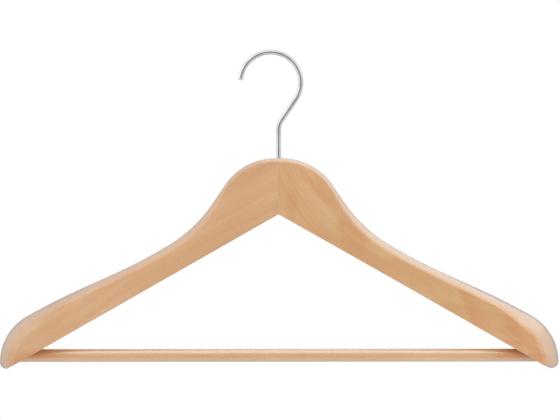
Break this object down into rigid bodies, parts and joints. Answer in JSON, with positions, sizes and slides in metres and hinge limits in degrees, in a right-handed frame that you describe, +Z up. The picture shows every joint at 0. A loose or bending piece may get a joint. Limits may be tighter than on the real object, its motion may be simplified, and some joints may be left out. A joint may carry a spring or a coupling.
{
  "type": "wooden hanger",
  "caption": "Contoured wooden clothes hanger with rounded shoulders, a swivelling chrome wire hook and a round trouser bar.",
  "frame": {"origin": "on the hook's swivel axis, where it crosses the inside of the hook's crown, which is where the hanger sits on a rail", "axes": "+Z up along the stem, +X to the right along the trouser bar as seen from the front, -Y to the front, where the arms' ends bend to"},
  "size_m": [0.45, 0.0424, 0.2569],
  "materials": {
    "arm_wood": "satin lacquer over fine straight grain",
    "bar_wood": "satin lacquer",
    "hook_chrome": "polished",
    "zinc_steel": "plain zinc plate"
  },
  "bodies": {
    "swivel_hook": {"hook": "hook_chrome", "hook_nut": "zinc_steel"},
    "wood_frame": {"left_arm": "arm_wood", "right_arm": "arm_wood", "trouser_bar": "bar_wood", "hook_washer": "zinc_steel", "bar_pin_left": "zinc_steel", "bar_pin_right": "zinc_steel"}
  },
  "joints": [
    {"name": "hook_swivel", "type": "hinge", "parent": "swivel_hook", "child": "wood_frame", "pos_m": [0, 0, -0.1], "axis": [0, 0, 1], "continuous": true}
  ]
}
